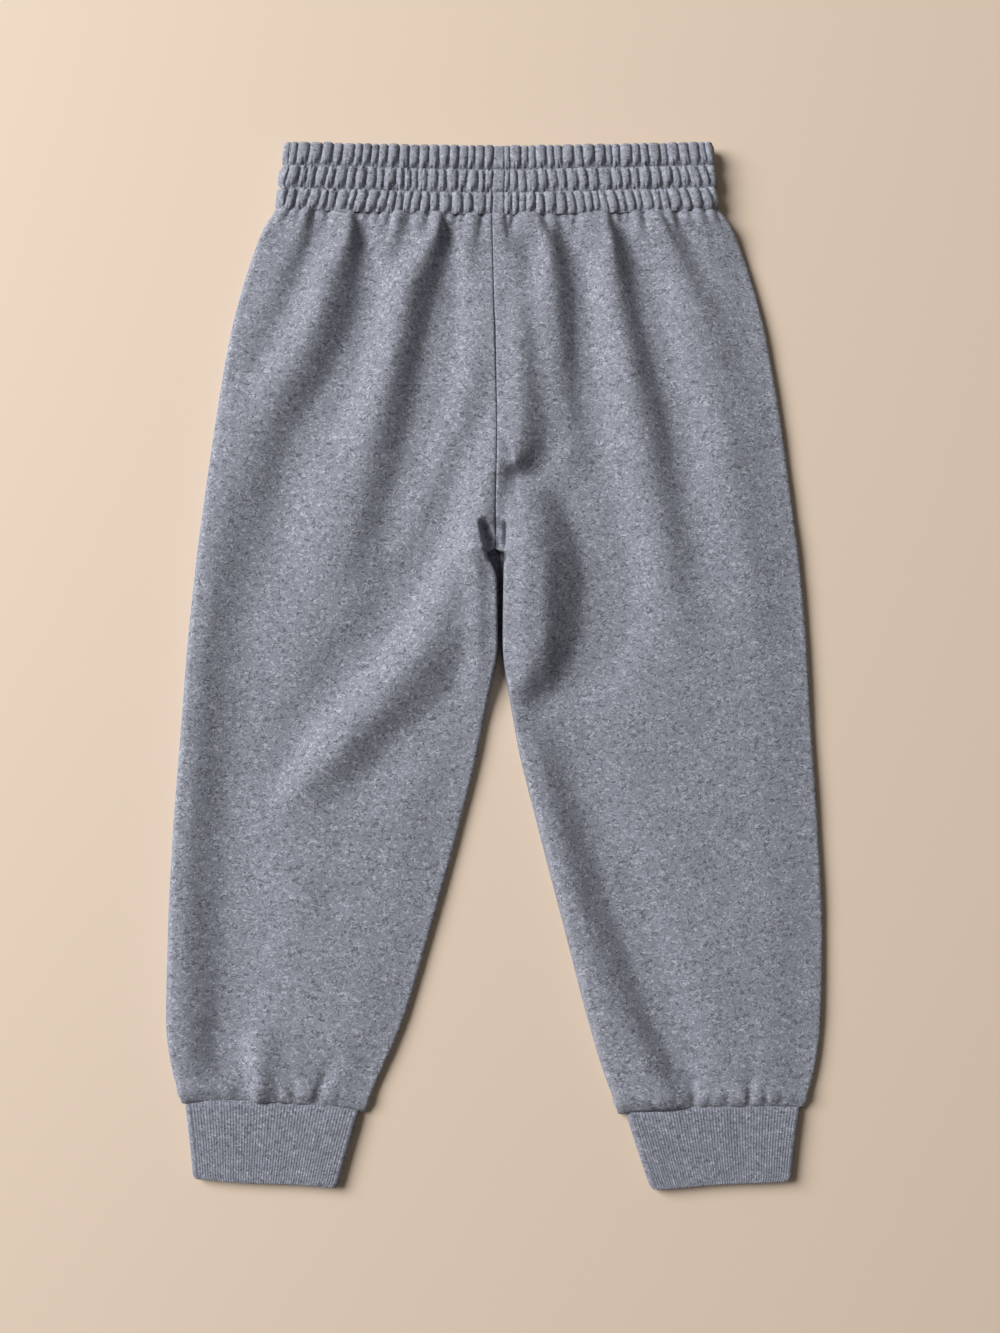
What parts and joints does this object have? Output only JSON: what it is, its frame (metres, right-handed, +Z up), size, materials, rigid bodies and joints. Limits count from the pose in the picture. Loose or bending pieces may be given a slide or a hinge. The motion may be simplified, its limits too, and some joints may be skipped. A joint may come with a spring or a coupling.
{
  "type": "jogger sweatpants laid flat",
  "caption": "Small child's pull-on jogger sweatpants in grey melange brushed knit, laid flat with the back up, with a gathered elastic waistband and ribbed cuffs.",
  "frame": {"origin": "on the surface it lies on, under the middle of the garment's box", "axes": "+X across the garment, to the right as seen from above with the waist away from the viewer; +Y from the cuffs to the waist; +Z up"},
  "size_m": [0.3494, 0.5631, 0.018],
  "materials": {
    "fleece": "matt brushed sweatshirt knit, blue-grey melange with short light and dark fibres",
    "rib": "matt one and one rib knit, slightly darker blue-grey melange"
  },
  "bodies": {
    "root": {"back_left": "fleece", "back_right": "fleece", "front_left": "fleece", "front_right": "fleece", "waistband": "fleece", "cuff_left": "rib", "cuff_right": "rib"}
  },
  "joints": []
}
